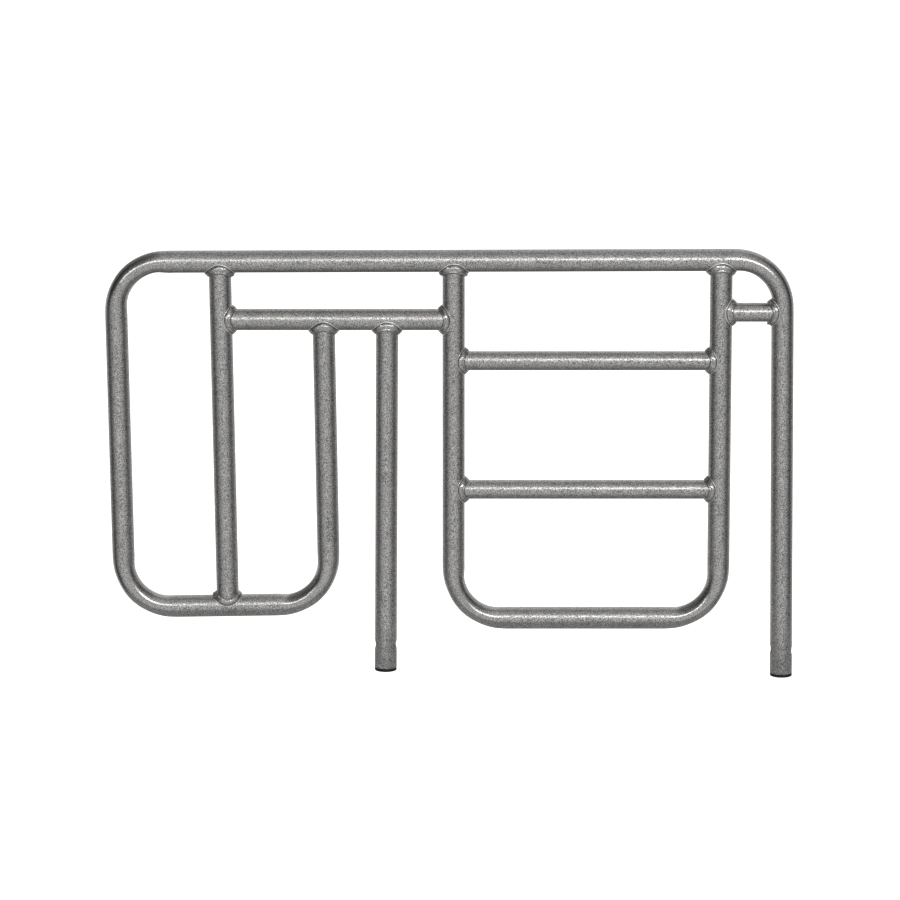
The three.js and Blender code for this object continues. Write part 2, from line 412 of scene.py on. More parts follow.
def drill(piece, foot, height):
    """A hole through a leg along X, at a height in the frame."""
    mesh = bpy.data.meshes.new("drill")
    maker = bmesh.new()
    turn = Matrix.Translation((foot[0], 0, height)) @ Matrix.Rotation(math.pi / 2, 4, "Y")
    bmesh.ops.create_cone(
        maker, cap_ends=True, segments=PIN_HOLE_SIDES, matrix=turn,
        radius1=PIN_HOLE_DIAMETER / 2, radius2=PIN_HOLE_DIAMETER / 2, depth=DRILL_LENGTH,
    )
    maker.to_mesh(mesh)
    maker.free()
    tool = bpy.data.objects.new("drill", mesh)
    bpy.context.scene.collection.objects.link(tool)
    cut = piece.modifiers.new("hole", "BOOLEAN")
    cut.operation = "DIFFERENCE"
    cut.solver = "EXACT"
    cut.object = tool
    graph = bpy.context.evaluated_depsgraph_get()
    result = bpy.data.meshes.new_from_object(piece.evaluated_get(graph))
    piece.modifiers.clear()
    old = piece.data
    piece.data = result
    bpy.data.meshes.remove(old)
    bpy.data.objects.remove(tool)
    bpy.data.meshes.remove(mesh)
    piece.data.name = piece.name
    piece.data.set_sharp_from_angle(angle=SHARP_EDGE)


# ---------------------------------------------------------------- welds

def hump(v, middle, width):
    """A smooth bump of height 1."""
    return math.exp(-((v - middle) / width) ** 2)


def bead_profile(v, groove):
    """Height of the bead's skin at v, as a share of its crown: a thin lip of coat, a crease, a steep shoulder
    that rounds over, a groove between two layers of weld, and a soft edge."""
    lip_at, lip_width, lip_height = WELD_LIP
    _, groove_width, groove_depth = WELD_GROOVE
    shoulder = 0.0
    for (low, from_height), (high, to_height) in zip(WELD_SHOULDER, WELD_SHOULDER[1:]):
        if v > low:
            shoulder = from_height + (to_height - from_height) * min(1.0, (v - low) / (high - low))
    body = shoulder - groove_depth * hump(v, groove, groove_width)
    tail = 1 - smooth_step(1 - WELD_TAIL, 1, v)
    return body * tail + lip_height * hump(v, lip_at, lip_width)


def wander(seed, count):
    """A smooth closed random curve of unit size with a few waves round it."""
    draw = random.Random(seed)
    waves = [(k, draw.uniform(0.4, 1) / k, draw.uniform(0, 2 * math.pi)) for k in range(1, count + 1)]

    def value(angle):
        return sum(size * math.sin(k * angle + phase) for k, size, phase in waves)

    return value


class Joint:
    """The corner between a branch tube and its parent, for the bead that goes round it. The branch's
    direction points away from the parent. Angles go round the branch, and c and s are their cosine and sine:
    0 and half a turn are the branch's sides, and a quarter turn is its front."""

    def __init__(self, branch, branch_radius, parent, parent_radius):
        self.place = crossing(branch, parent)
        self.branch_radius = branch_radius
        self.parent_radius = parent_radius
        self.out = branch[1]
        self.side = np.array([self.out[1], -self.out[0]])
        self.along = parent[1] * math.copysign(1, parent[1] @ self.side)
        away = np.array([-self.along[1], self.along[0]])
        self.away = away * math.copysign(1, away @ self.out)

    def on_parent(self, c, s, leg, front):
        """The bead's toe on the parent: leg out from the branch at its sides, and front away from the
        parent's axis at the front."""
        radius = self.parent_radius
        height = radius - (radius - front) * s * s
        depth = -math.copysign(math.sqrt(max(0.0, radius ** 2 - height ** 2)), s)
        sink = 1 - WELD_SINK / radius
        x, z = self.place + self.along * (self.branch_radius + leg) * c + self.away * height * sink
        return np.array([x, depth * sink, z])

    def on_branch(self, c, s, inset, rise):
        """A point inset under the branch's skin, rise along the branch from the parent's axis."""
        radius = self.branch_radius - inset
        x, z = self.place + self.side * radius * c + self.out * rise
        return np.array([x, -radius * s, z])

    def normal(self, c, s, chord):
        """The way out of the corner, square to the chord between the bead's toes."""
        x, z = self.side * c + self.out * c * c
        normal = np.array([x, -s, z])
        normal -= chord * (normal @ chord)
        return normal / np.linalg.norm(normal)


def lump_height(lumps, angle, v):
    """Extra height of the lumps on a bead, which are (degrees round it, place across it, height)."""
    width_round, width_across = WELD_LUMP_WIDTH
    total = 0.0
    for degrees, across, height in lumps:
        near = hump(angle, math.radians(degrees), width_round) * hump(v, across, width_across)
        total += height * near
    return total


def make_weld(name, joint, reach, seed, lumps=()):
    """A fillet bead round a joint. Reach is how far from the parent's axis its two toes come at the front."""
    drift = wander(seed, WELD_WAVES)
    spread = wander(seed + 1, WELD_TOE_WAVES)
    parent_reach, branch_reach = reach
    *branch_crease_shade, branch_crease_shade_strength = WELD_BRANCH_CREASE_SHADE
    side_reach = joint.parent_radius + WELD_LEG
    ripples = round(2 * math.pi * (joint.branch_radius + WELD_MIDDLE) / WELD_RIPPLE_PITCH)
    points = []
    crease_shades = []
    lip_highlights = []
    for k in range(WELD_ROUND_STEPS):
        angle = 2 * math.pi * k / WELD_ROUND_STEPS
        c, s = math.cos(angle), math.sin(angle)
        leg = WELD_LEG + WELD_LEG_DRIFT * drift(angle)
        toe = joint.on_parent(c, s, leg, parent_reach + WELD_TOE_DRIFT * spread(angle))
        rise = branch_reach + (side_reach - branch_reach) * abs(c) ** WELD_SIDE_SHARPNESS
        top = joint.on_branch(c, s, WELD_SINK, rise + WELD_TOE_DRIFT * spread(angle + 1))
        root_rise = COPE_STANDOFF + (joint.parent_radius - COPE_STANDOFF - 2 * WELD_SINK) * c * c
        root = joint.on_branch(c, s, WELD_ROOT_INSET, root_rise)
        normal = joint.normal(c, s, (top - toe) / np.linalg.norm(top - toe))
        crown = WELD_CROWN_FRONT + (WELD_CROWN_SIDE - WELD_CROWN_FRONT) * c * c
        crown *= 1 + WELD_CROWN_DRIFT * drift(angle + 2)
        groove = WELD_GROOVE[0] + WELD_GROOVE_DRIFT * drift(2 * angle)
        for j in range(WELD_CROWN_STEPS + 1):
            v = 0.5 - 0.5 * math.cos(math.pi * j / WELD_CROWN_STEPS)
            ripple = WELD_RIPPLE * math.sin(ripples * angle + WELD_RIPPLE_BOW * (v - 0.5) ** 2)
            lift = (crown + ripple) * bead_profile(v, groove) + lump_height(lumps, angle, v)
            points.append(toe + (top - toe) * v + normal * lift)
            # Painted shade: how far each point lies in one of the two dark crease bands
            crease_shades.append(hump(v, *WELD_CREASE_SHADE) + branch_crease_shade_strength * hump(v, *branch_crease_shade))
            # Painted highlight: how far each point lies on the near-white band along the lip
            lip_highlights.append(hump(v, *WELD_LIP[:2]))
        points.append(root)
        crease_shades.append(0.0)
        lip_highlights.append(0.0)
    faces = ring_faces(WELD_ROUND_STEPS, WELD_CROWN_STEPS + 2, True)
    piece = make_piece(name, points, faces, name, BEAD)
    add_values(piece, "crease", crease_shades)
    add_values(piece, "lip", lip_highlights)
    piece.data.set_sharp_from_angle(angle=WELD_SHARP_EDGE)


# ---------------------------------------------------------------- plugs

def lathe(profile, centre, sides):
    """Points and faces of a profile (radius, height) turned round the upright axis that its ends lie on."""
    points = [(centre[0], 0.0, profile[0][1])]
    for radius, height in profile[1:-1]:
        for k in range(sides):
            angle = 2 * math.pi * k / sides
            points.append((centre[0] + radius * math.cos(angle), radius * math.sin(angle), height))
    points.append((centre[0], 0.0, profile[-1][1]))
    rings = len(profile) - 2
    faces = [tuple(1 + i for i in f) for f in ring_faces(rings, sides, False)]
    for k in range(sides):
        faces.append((0, 1 + (k + 1) % sides, 1 + k))
        last = 1 + (rings - 1) * sides
        faces.append((len(points) - 1, last + k, last + (k + 1) % sides))
    return points, faces


def arc(centre, radius, start, end, steps):
    """Points round an arc, angles in degrees."""
    turns = [math.radians(start + (end - start) * k / steps) for k in range(steps + 1)]
    return [(centre[0] + radius * math.cos(t), centre[1] + radius * math.sin(t)) for t in turns]


def make_plug(name, tube_radius, tube_end):
    """A moulded cap with a rounded rim, and a hollow barbed stem inside the tube."""
    low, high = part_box(name)
    centre = ((low.x + high.x) / 2, 0.0)
    bore = tube_radius - WALL
    rim = tube_radius - PLUG_RIM_CLEARANCE
    seat = tube_end - PLUG_SEAT
    stem = bore - PLUG_STEM_CLEARANCE
    barb = bore - PLUG_BARB_CLEARANCE
    profile = [(0, low.z)]
    profile += arc((rim - PLUG_RIM_ROUND, low.z + PLUG_RIM_ROUND), PLUG_RIM_ROUND, -90, 0, 8)
    profile += arc((rim - PLUG_EDGE_ROUND, seat - PLUG_EDGE_ROUND), PLUG_EDGE_ROUND, 0, 90, 4)
    profile.append((stem, seat))
    for share in PLUG_BARB_PLACES:
        at = seat + (high.z - seat) * share
        full, fall, end = PLUG_BARB_HEIGHTS
        profile += [(stem, at), (barb, at + full), (barb, at + fall), (stem, at + end)]
    profile += arc((stem - PLUG_STEM_ROUND, high.z - PLUG_STEM_ROUND), PLUG_STEM_ROUND, 0, 90, 4)
    hollow = stem - PLUG_STEM_WALL
    profile += [(hollow, high.z), (hollow - PLUG_STEM_TAPER, seat), (0, seat)]
    points, faces = lathe(profile, centre, PLUG_SIDES)
    piece = make_piece(name, points, faces, name, PLASTIC)
    piece.data.set_sharp_from_angle(angle=SHARP_EDGE)


# ---------------------------------------------------------------- materials

class Nodes:
    """Short calls for building a node tree. They take numbers, colours or sockets, and give back a socket."""

    def __init__(self, tree):
        self.tree = tree
        tree.nodes.clear()

    def add(self, kind, **settings):
        """A new node with some of its settings."""
        node = self.tree.nodes.new(kind)
        for key, value in settings.items():
            setattr(node, key, value)
        return node

    def feed(self, value, socket):
        """Link a socket to an input, or set the input to a fixed value."""
        if isinstance(value, bpy.types.NodeSocket):
            self.tree.links.new(value, socket)
        else:
            socket.default_value = value

    def math(self, operation, a, b):
        node = self.add("ShaderNodeMath", operation=operation)
        self.feed(a, node.inputs[0])
        self.feed(b, node.inputs[1])
        return node.outputs[0]

    def scaled(self, vector, factor):
        """A vector or a colour times a number."""
        node = self.add("ShaderNodeVectorMath", operation="SCALE")
        self.feed(vector, node.inputs[0])
        self.feed(factor, node.inputs["Scale"])
        return node.outputs["Vector"]

    def remap(self, value, low, high, to_low=0.0, to_high=1.0, smooth=False):
        """Value moved from one range to another and held inside it."""
        node = self.add("ShaderNodeMapRange", interpolation_type="SMOOTHSTEP" if smooth else "LINEAR")
        for key, number in zip(("From Min", "From Max", "To Min", "To Max"), (low, high, to_low, to_high)):
            node.inputs[key].default_value = number
        self.feed(value, node.inputs["Value"])
        return node.outputs["Result"]

    def mix(self, factor, a, b):
        """Colour a where the factor is 0 and colour b where it is 1."""
        node = self.add("ShaderNodeMix", data_type="RGBA")
        self.feed(factor, node.inputs[0])
        self.feed(a, node.inputs[6])
        self.feed(b, node.inputs[7])
        return node.outputs[2]

    def ramp(self, value, steps):
        """Grey levels over value, from (place, level) steps."""
        node = self.add("ShaderNodeValToRGB")
        self.feed(value, node.inputs["Fac"])
        elements = node.color_ramp.elements
        while len(elements) < len(steps):
            elements.new(0.5)
        for element, (at, level) in zip(elements, steps):
            element.position = at
            element.color = (level, level, level, 1)
        return node.outputs["Color"]

    def noise(self, vector, scale, detail=2.0, rough=0.5, distortion=0.0):
        node = self.add("ShaderNodeTexNoise")
        node.inputs["Scale"].default_value = scale
        node.inputs["Detail"].default_value = detail
        node.inputs["Roughness"].default_value = rough
        node.inputs["Distortion"].default_value = distortion
        self.feed(vector, node.inputs["Vector"])
        return node.outputs["Fac"]

    def place(self):
        """Where a point is on its piece, in metres."""
        return self.add("ShaderNodeTexCoord").outputs["Object"]

    def point_value(self, name):
        """A number that the mesh has for each point."""
        return self.add("ShaderNodeAttribute", attribute_name=name).outputs["Fac"]

    def stretched(self, vector, turn, scale):
        """Coordinates turned about Y and scaled per axis."""
        node = self.add("ShaderNodeMapping")
        node.inputs["Rotation"].default_value = (0, turn, 0)
        node.inputs["Scale"].default_value = scale
        self.feed(vector, node.inputs["Vector"])
        return node.outputs["Vector"]

    def bump(self, height, distance):
        node = self.add("ShaderNodeBump")
        node.inputs["Distance"].default_value = distance
        self.feed(height, node.inputs["Height"])
        return node.outputs["Normal"]


def new_material(name):
    """A material and the nodes to build it with."""
    material = bpy.data.materials.new(name)
    material.use_nodes = True
    return material, Nodes(material.node_tree)


def set_surface(nodes, inputs):
    """The shader at the end of a material, with the inputs that differ from its own."""
    shader = nodes.add("ShaderNodeBsdfPrincipled")
    for name, value in inputs.items():
        nodes.feed(value, shader.inputs[name])
    nodes.feed(shader.outputs["BSDF"], nodes.add("ShaderNodeOutputMaterial").inputs["Surface"])


# Silver vein coat: slanted streaks of silver over dark hollows. Noise scales are in bumps per metre, an edge
# is the range of noise over which one thing turns into the next, and a pair of colours is for two tints.
NOISE_RANGE = (0.3, 0.7)
TINT_EDGE = (0.42, 0.58)
VEIN_SCALE = 1350
VEIN_SLANTS = (math.radians(38), math.radians(-42))
VEIN_STRETCH = (1.0, 0.9, 0.7)
VEIN_EDGE = (0.42, 0.57)
VEIN_MIDDLE = 0.62
VEIN_TINT_SCALE = 160
VEIN_SILVER = ((0.63, 0.637, 0.615, 1), (0.65, 0.627, 0.627, 1))
VEIN_HOLLOW = ((0.155, 0.159, 0.149, 1), (0.165, 0.155, 0.153, 1))
VEIN_METAL = 0.95
VEIN_ROUGHNESS = (0.36, 0.28)
VEIN_RELIEF = 0.03 * MM

# The coat in a bend: the share of the veins' contrast and relief that is left, the roughness lost, and the
# clear gloss on a straight tube and in a bend
BEND_CONTRAST = 0.8
BEND_RELIEF = 0.25
BEND_SMOOTHING = 0.13
BEND_GLOSS = (0.15, 0.6)
BEND_GLOSS_ROUGHNESS = 0.12

# Faint light and dark patches, and rubbed marks, which a finer noise breaks up
PATCH_SCALE = 70
PATCH_LEVELS = (0.93, 1.07)
RUB_SCALE = 34
RUB_EDGE = (0.6, 0.7)
RUB_STRENGTH = 0.5
RUB_GRAIN_SCALE = 420
RUB_GRAIN_EDGE = (0.42, 0.6)
RUB_LEVEL = 0.5
RUB_ROUGHNESS = 0.15

# The one dark scuff, low on the loop's post: its middle, its half-lengths and where it starts to fade
SCUFF_AT = (-456.5 * MM, -11 * MM, 156 * MM)
SCUFF_SIZE = (4 * MM, 8 * MM, 22 * MM)
SCUFF_FADE = 0.3


def hatch(nodes, place, slant):
    """Short streaks of the vein texture, lying at one slant."""
    slanted = nodes.stretched(place, slant, VEIN_STRETCH)
    return nodes.noise(slanted, VEIN_SCALE, detail=2.0, rough=0.55, distortion=0.3)


def coat_colour(nodes, place, tint_scale, height, silver, hollow):
    """Silver on a coat's heights and dark in its hollows, each with two tints in patches."""
    tint = nodes.remap(nodes.noise(place, tint_scale), *TINT_EDGE, smooth=True)
    return nodes.mix(height, nodes.mix(tint, *hollow), nodes.mix(tint, *silver))


def scuff(nodes, place):
    """1 in the middle of the scuff and 0 from its edge outwards."""
    offset = nodes.add("ShaderNodeVectorMath", operation="SUBTRACT")
    nodes.feed(place, offset.inputs[0])
    nodes.feed(SCUFF_AT, offset.inputs[1])
    shares = nodes.add("ShaderNodeVectorMath", operation="DIVIDE")
    nodes.feed(offset.outputs["Vector"], shares.inputs[0])
    nodes.feed(SCUFF_SIZE, shares.inputs[1])
    far = nodes.add("ShaderNodeVectorMath", operation="LENGTH")
    nodes.feed(shares.outputs["Vector"], far.inputs[0])
    return nodes.remap(far.outputs["Value"], SCUFF_FADE, 1.0, 1.0, 0.0, smooth=True)


def rubbed_marks(nodes, place):
    """1 where the coat is rubbed: the scuff and a few faint marks."""
    faint = nodes.remap(nodes.noise(place, RUB_SCALE, detail=3.0, rough=0.6), *RUB_EDGE, smooth=True)
    rubbed = nodes.math("MAXIMUM", nodes.math("MULTIPLY", faint, RUB_STRENGTH), scuff(nodes, place))
    grain = nodes.noise(place, RUB_GRAIN_SCALE, detail=3.0, rough=0.6)
    return nodes.math("MULTIPLY", rubbed, nodes.remap(grain, *RUB_GRAIN_EDGE, smooth=True))


def vein_coat():
    """Silver vein powder coat: fine hatched ridges of silver over dark hollows, smoother in the bends."""
    material, nodes = new_material("vein_coat")
    place = nodes.place()
    bend = nodes.point_value("bend")
    one_way, other_way = (hatch(nodes, place, slant) for slant in VEIN_SLANTS)
    streaks = nodes.math("MULTIPLY", nodes.math("ADD", one_way, other_way), 0.5)
    veins = nodes.math("SUBTRACT", nodes.remap(streaks, *VEIN_EDGE, smooth=True), VEIN_MIDDLE)
    veins = nodes.math("MULTIPLY", veins, nodes.remap(bend, 0.0, 1.0, 1.0, BEND_CONTRAST))
    veins = nodes.math("ADD", veins, VEIN_MIDDLE)

    wear = rubbed_marks(nodes, place)
    patches = nodes.noise(place, PATCH_SCALE, detail=3.0, rough=0.6)
    shade = nodes.remap(patches, *NOISE_RANGE, *PATCH_LEVELS)
    shade = nodes.math("MULTIPLY", shade, nodes.remap(wear, 0.0, 1.0, 1.0, RUB_LEVEL))
    colour = coat_colour(nodes, place, VEIN_TINT_SCALE, veins, VEIN_SILVER, VEIN_HOLLOW)

    roughness = nodes.remap(veins, 0.0, 1.0, *VEIN_ROUGHNESS)
    roughness = nodes.math("ADD", roughness, nodes.math("MULTIPLY", wear, RUB_ROUGHNESS))
    roughness = nodes.math("SUBTRACT", roughness, nodes.math("MULTIPLY", bend, BEND_SMOOTHING))
    relief = nodes.math("MULTIPLY", veins, nodes.remap(bend, 0.0, 1.0, 1.0, BEND_RELIEF))
    set_surface(nodes, {
        "Base Color": nodes.scaled(colour, shade),
        "Metallic": VEIN_METAL,
        "Roughness": roughness,
        "Coat Weight": nodes.remap(bend, 0.0, 1.0, *BEND_GLOSS),
        "Coat Roughness": BEND_GLOSS_ROUGHNESS,
        "Normal": nodes.bump(relief, VEIN_RELIEF),
    })
    return material


# The coat over a weld bead, with painted shade in its creases and a painted highlight on its lip
BEAD_MOTTLE_SCALE = 800
BEAD_MOTTLE_EDGE = (0.35, 0.6)
BEAD_TINT_SCALE = 150
BEAD_SILVER = ((0.53, 0.54, 0.52, 1), (0.55, 0.53, 0.53, 1))
BEAD_HOLLOW = ((0.19, 0.195, 0.185, 1), (0.2, 0.19, 0.19, 1))
BEAD_CREASE_SHADE = (0.02, 0.02, 0.02, 1)
BEAD_CREASE_SHADE_STRENGTH = 0.95
BEAD_LIP_HIGHLIGHT = (0.95, 0.95, 0.93, 1)
BEAD_METAL = 0.85
BEAD_ROUGHNESS = (0.2, 0.12)
BEAD_GLOSS = 0.5
BEAD_GLOSS_ROUGHNESS = 0.06
BEAD_RELIEF = 0.025 * MM


def bead_coat():
    """The same coat over a weld bead, smooth and glossy, with painted shade in its creases and a painted
    highlight on its lip.
    """
    material, nodes = new_material("bead_coat")
    place = nodes.place()
    mottle = nodes.noise(place, BEAD_MOTTLE_SCALE, detail=3.0, rough=0.6)
    height = nodes.remap(mottle, *BEAD_MOTTLE_EDGE, smooth=True)
    colour = coat_colour(nodes, place, BEAD_TINT_SCALE, height, BEAD_SILVER, BEAD_HOLLOW)
    # Painted shade: the creases darkened almost to black
    crease = nodes.math("MULTIPLY", nodes.point_value("crease"), BEAD_CREASE_SHADE_STRENGTH)
    colour = nodes.mix(crease, colour, BEAD_CREASE_SHADE)
    # Painted highlight: the lip lightened almost to white
    colour = nodes.mix(nodes.point_value("lip"), colour, BEAD_LIP_HIGHLIGHT)
    set_surface(nodes, {
        "Base Color": colour,
        "Metallic": BEAD_METAL,
        "Roughness": nodes.remap(mottle, *NOISE_RANGE, *BEAD_ROUGHNESS),
        "Coat Weight": BEAD_GLOSS,
        "Coat Roughness": BEAD_GLOSS_ROUGHNESS,
        "Normal": nodes.bump(mottle, BEAD_RELIEF),
    })
    return material


# Black moulded plastic, a little lighter where it rubs
PLASTIC_BLACK = (0.012, 0.012, 0.013, 1)
PLASTIC_RUBBED = (0.035, 0.034, 0.033, 1)
PLASTIC_RUB_SCALE = 260
PLASTIC_RUB_EDGE = (0.52, 0.7)
PLASTIC_GRAIN_SCALE = 1400
PLASTIC_ROUGHNESS = (0.45, 0.6)
PLASTIC_SPECULAR = 0.3
PLASTIC_RELIEF = 0.05 * MM


def moulded_plastic():
    """Black moulded plastic with a fine grain."""
    material, nodes = new_material("moulded_plastic")
    place = nodes.place()
    grain = nodes.noise(place, PLASTIC_GRAIN_SCALE, detail=3.0, rough=0.6)
    rubbed = nodes.remap(nodes.noise(place, PLASTIC_RUB_SCALE, detail=4.0, rough=0.7), *PLASTIC_RUB_EDGE)
    set_surface(nodes, {
        "Base Color": nodes.mix(rubbed, PLASTIC_BLACK, PLASTIC_RUBBED),
        "Roughness": nodes.remap(grain, *NOISE_RANGE, *PLASTIC_ROUGHNESS),
        "Specular IOR Level": PLASTIC_SPECULAR,
        "Normal": nodes.bump(grain, PLASTIC_RELIEF),
    })
    return material


COAT = vein_coat()
BEAD = bead_coat()
PLASTIC = moulded_plastic()


# ---------------------------------------------------------------- the rail

MAIN = "main_frame_tube"
LADDER = "ladder_u_tube"

# The middle line of each straight run: its node, the axis it follows, and where in the node's box it is found
LINES = {
    "long_leg": axis_line(MAIN, "z", (0.2, 0.8), (0.93, 1.1)),
    "top_rail": axis_line(MAIN, "x", (0.15, 0.85), (0.9, 1.1)),
    "outer_post": axis_line(MAIN, "z", (0.32, 0.8), (-0.1, 0.06)),
    "loop_bottom": axis_line(MAIN, "x", (0.11, 0.24), (0.1, 0.25)),
    "loop_post": axis_line(MAIN, "z", (0.33, 0.7), (0.25, 0.37)),
    "inner_post": axis_line("grab_loop_inner_post", "z"),
    "crossbar": axis_line("crossbar_tube", "x"),
    "short_leg": axis_line("short_leg_tube", "z"),
    "ladder_left": axis_line(LADDER, "z", (0.25, 0.85), (-0.1, 0.12)),
    "ladder_bottom": axis_line(LADDER, "x", (0.3, 0.7), (-0.1, 0.12)),
    "ladder_right": axis_line(LADDER, "z", (0.25, 0.85), (0.88, 1.1)),
    "upper_rung": axis_line("upper_rung_tube", "x"),
    "lower_rung": axis_line("lower_rung_tube", "x"),
    "spacer": axis_line("corner_spacer_tube", "x"),
}
MAIN_RADIUS = radius_of(MAIN)
RADII = {name: MAIN_RADIUS for name in LINES}
RADII["crossbar"] = radius_of("crossbar_tube")
RADII["upper_rung"] = radius_of("upper_rung_tube")
RADII["lower_rung"] = radius_of("lower_rung_tube")
RADII["spacer"] = radius_of("corner_spacer_tube")

# The middle of each leg's square end
LONG_FOOT = at_height(LINES["long_leg"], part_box(MAIN)[0].z + PLUG_REVEAL)
SHORT_FOOT = at_height(LINES["short_leg"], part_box("short_leg_tube")[0].z + PLUG_REVEAL)

# Half-width lost in each bend, on its inside and its outside
MAIN_MARKS = ((1.2 * MM, 0.55 * MM), (0.9 * MM, 1.15 * MM), (0.3 * MM, 1.65 * MM), (0.8 * MM, 1.55 * MM))
LADDER_MARKS = ((0.65 * MM, 2.2 * MM), (0.3 * MM, 2.2 * MM))

# Straight tubes that are coped at both ends: node, line, and the lines that they run between
STRAIGHT = (
    ("grab_loop_inner_post", "inner_post", "top_rail", "loop_bottom"),
    ("crossbar_tube", "crossbar", "inner_post", "ladder_left"),
    ("upper_rung_tube", "upper_rung", "ladder_left", "ladder_right"),
    ("lower_rung_tube", "lower_rung", "ladder_left", "ladder_right"),
    ("corner_spacer_tube", "spacer", "ladder_right", "long_leg"),
)

# Welds: node, branch, which way along its line the branch leaves the joint, parent, and how far from the
# parent's axis the toes on the parent and on the branch are at the front
UNDER_RAIL = (1.5 * MM, 12 * MM)
UNDER_CROSSBAR = (0.4 * MM, 11 * MM)
CROSSBAR_END = (2.5 * MM, 11 * MM)
RUNG_END = (3.3 * MM, 11.5 * MM)
WELDS = (
    ("weld_loop_post_to_crossbar", "loop_post", -1, "crossbar", UNDER_CROSSBAR),
    ("weld_inner_post_to_top_rail", "inner_post", -1, "top_rail", UNDER_RAIL),
    ("weld_inner_post_to_loop_bottom", "inner_post", 1, "loop_bottom", (0.8 * MM, 9.5 * MM)),
    ("weld_crossbar_to_inner_post", "crossbar", 1, "inner_post", CROSSBAR_END),
    ("weld_crossbar_to_ladder", "crossbar", -1, "ladder_left", CROSSBAR_END),
    ("weld_short_leg_to_crossbar", "short_leg", -1, "crossbar", UNDER_CROSSBAR),
    ("weld_ladder_left_to_top_rail", "ladder_left", -1, "top_rail", UNDER_RAIL),
    ("weld_ladder_right_to_top_rail", "ladder_right", -1, "top_rail", UNDER_RAIL),
    ("weld_upper_rung_left", "upper_rung", 1, "ladder_left", RUNG_END),
    ("weld_upper_rung_right", "upper_rung", -1, "ladder_right", RUNG_END),
    ("weld_lower_rung_left", "lower_rung", 1, "ladder_left", RUNG_END),
    ("weld_lower_rung_right", "lower_rung", -1, "ladder_right", RUNG_END),
    ("weld_spacer_to_ladder", "spacer", 1, "ladder_right", (3.3 * MM, 12.3 * MM)),
    ("weld_spacer_to_long_leg", "spacer", -1, "long_leg", (3.3 * MM, 10.4 * MM)),
)

# Blobs of spatter and overlap at the sides of some beads: degrees round the bead, place across it, and height
LUMPS = {
    "weld_inner_post_to_top_rail": ((160, 0.5, 1.4 * MM), (120, 0.75, 0.6 * MM)),
    "weld_inner_post_to_loop_bottom": ((165, 0.5, 1.5 * MM), (135, 0.8, 0.8 * MM), (20, 0.6, 1.2 * MM)),
    "weld_ladder_left_to_top_rail": ((165, 0.6, 0.9 * MM), (15, 0.5, 0.8 * MM)),
    "weld_loop_post_to_crossbar": ((150, 0.5, 0.8 * MM),),
    "weld_crossbar_to_inner_post": ((165, 0.5, 0.9 * MM),),
    "weld_spacer_to_long_leg": ((165, 0.7, 1.3 * MM), (20, 0.4, 0.7 * MM)),
    "weld_upper_rung_left": ((165, 0.5, 0.7 * MM),),
}
SEEDS_PER_WELD = 10


def meet(a, b):
    """Where two of the rail's lines cross."""
    return crossing(LINES[a], LINES[b])


def cope_on(parent):
    """The cut that fits a tube's end round one of the rail's tubes."""
    return Cope(LINES[parent], RADII[parent])


def make_main_frame():
    """The long leg, the top rail and the grab loop in one bent tube."""
    route = Route([
        LONG_FOOT, meet("long_leg", "top_rail"), meet("top_rail", "outer_post"),
        meet("outer_post", "loop_bottom"), meet("loop_bottom", "loop_post"), meet("loop_post", "crossbar"),
    ], BEND_RADIUS)
    tube = make_tube(MAIN, route, MAIN_RADIUS, MAIN_MARKS, end=cope_on("crossbar"), extra=HOLE_RINGS)
    drill(tube, LONG_FOOT, PIN_HOLE_HEIGHT)


def make_ladder():
    """The U of the ladder panel."""
    route = Route([
        meet("ladder_left", "top_rail"), meet("ladder_left", "ladder_bottom"),
        meet("ladder_bottom", "ladder_right"), meet("ladder_right", "top_rail"),
    ], BEND_RADIUS)
    make_tube(LADDER, route, MAIN_RADIUS, LADDER_MARKS, cope_on("top_rail"), cope_on("top_rail"))


def make_straight_tubes():
    """The inner post, crossbar, rungs and spacer."""
    for node, line, first, last in STRAIGHT:
        route = Route([meet(line, first), meet(line, last)], BEND_RADIUS)
        make_tube(node, route, RADII[line], (), cope_on(first), cope_on(last))


def make_short_leg():
    """The leg that hangs from the crossbar."""
    route = Route([SHORT_FOOT, meet("short_leg", "crossbar")], BEND_RADIUS)
    tube = make_tube("short_leg_tube", route, MAIN_RADIUS, end=cope_on("crossbar"), extra=HOLE_RINGS)
    drill(tube, SHORT_FOOT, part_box("short_leg_end_plug")[0].z + PIN_HOLE_HEIGHT)


def make_welds():
    """A bead at each joint, with its own random drift."""
    for i, (name, branch, sign, parent, reach) in enumerate(WELDS):
        point, direction = LINES[branch]
        joint = Joint((point, direction * sign), RADII[branch], LINES[parent], RADII[parent])
        make_weld(name, joint, reach, SEEDS_PER_WELD * i, LUMPS.get(name, ()))


make_main_frame()
make_ladder()
make_straight_tubes()
make_short_leg()
make_welds()
make_plug("long_leg_end_plug", MAIN_RADIUS, LONG_FOOT[1])
make_plug("short_leg_end_plug", MAIN_RADIUS, SHORT_FOOT[1])


# ---------------------------------------------------------------- stage, light and camera

# The camera, the width it sees at the part and the middle of that view, from the middle of the part's box
CAMERA_DISTANCE = 3.5
CAMERA_RISE = math.radians(10.5)
VIEW_WIDTH = 0.9
VIEW_CENTRE = (-1.7 * MM, 14.7 * MM)
SENSOR_WIDTH = 36.0

FLOOR_SIZE = 60
FLOOR_DROP = 0.2 * MM
FLOOR_GREY = (0.9, 0.9, 0.9, 1)
FLOOR_ROUGHNESS = 0.9
FLOOR_GLOW = 1.0

# The patch of pale floor close under the rail
NEAR_FLOOR_FROM = -0.75
NEAR_FLOOR_TO = 0.3
NEAR_FLOOR_DEPTH = 0.24
NEAR_FLOOR_GLOW = 0.36
NEAR_FLOOR_DROP = 0.1 * MM

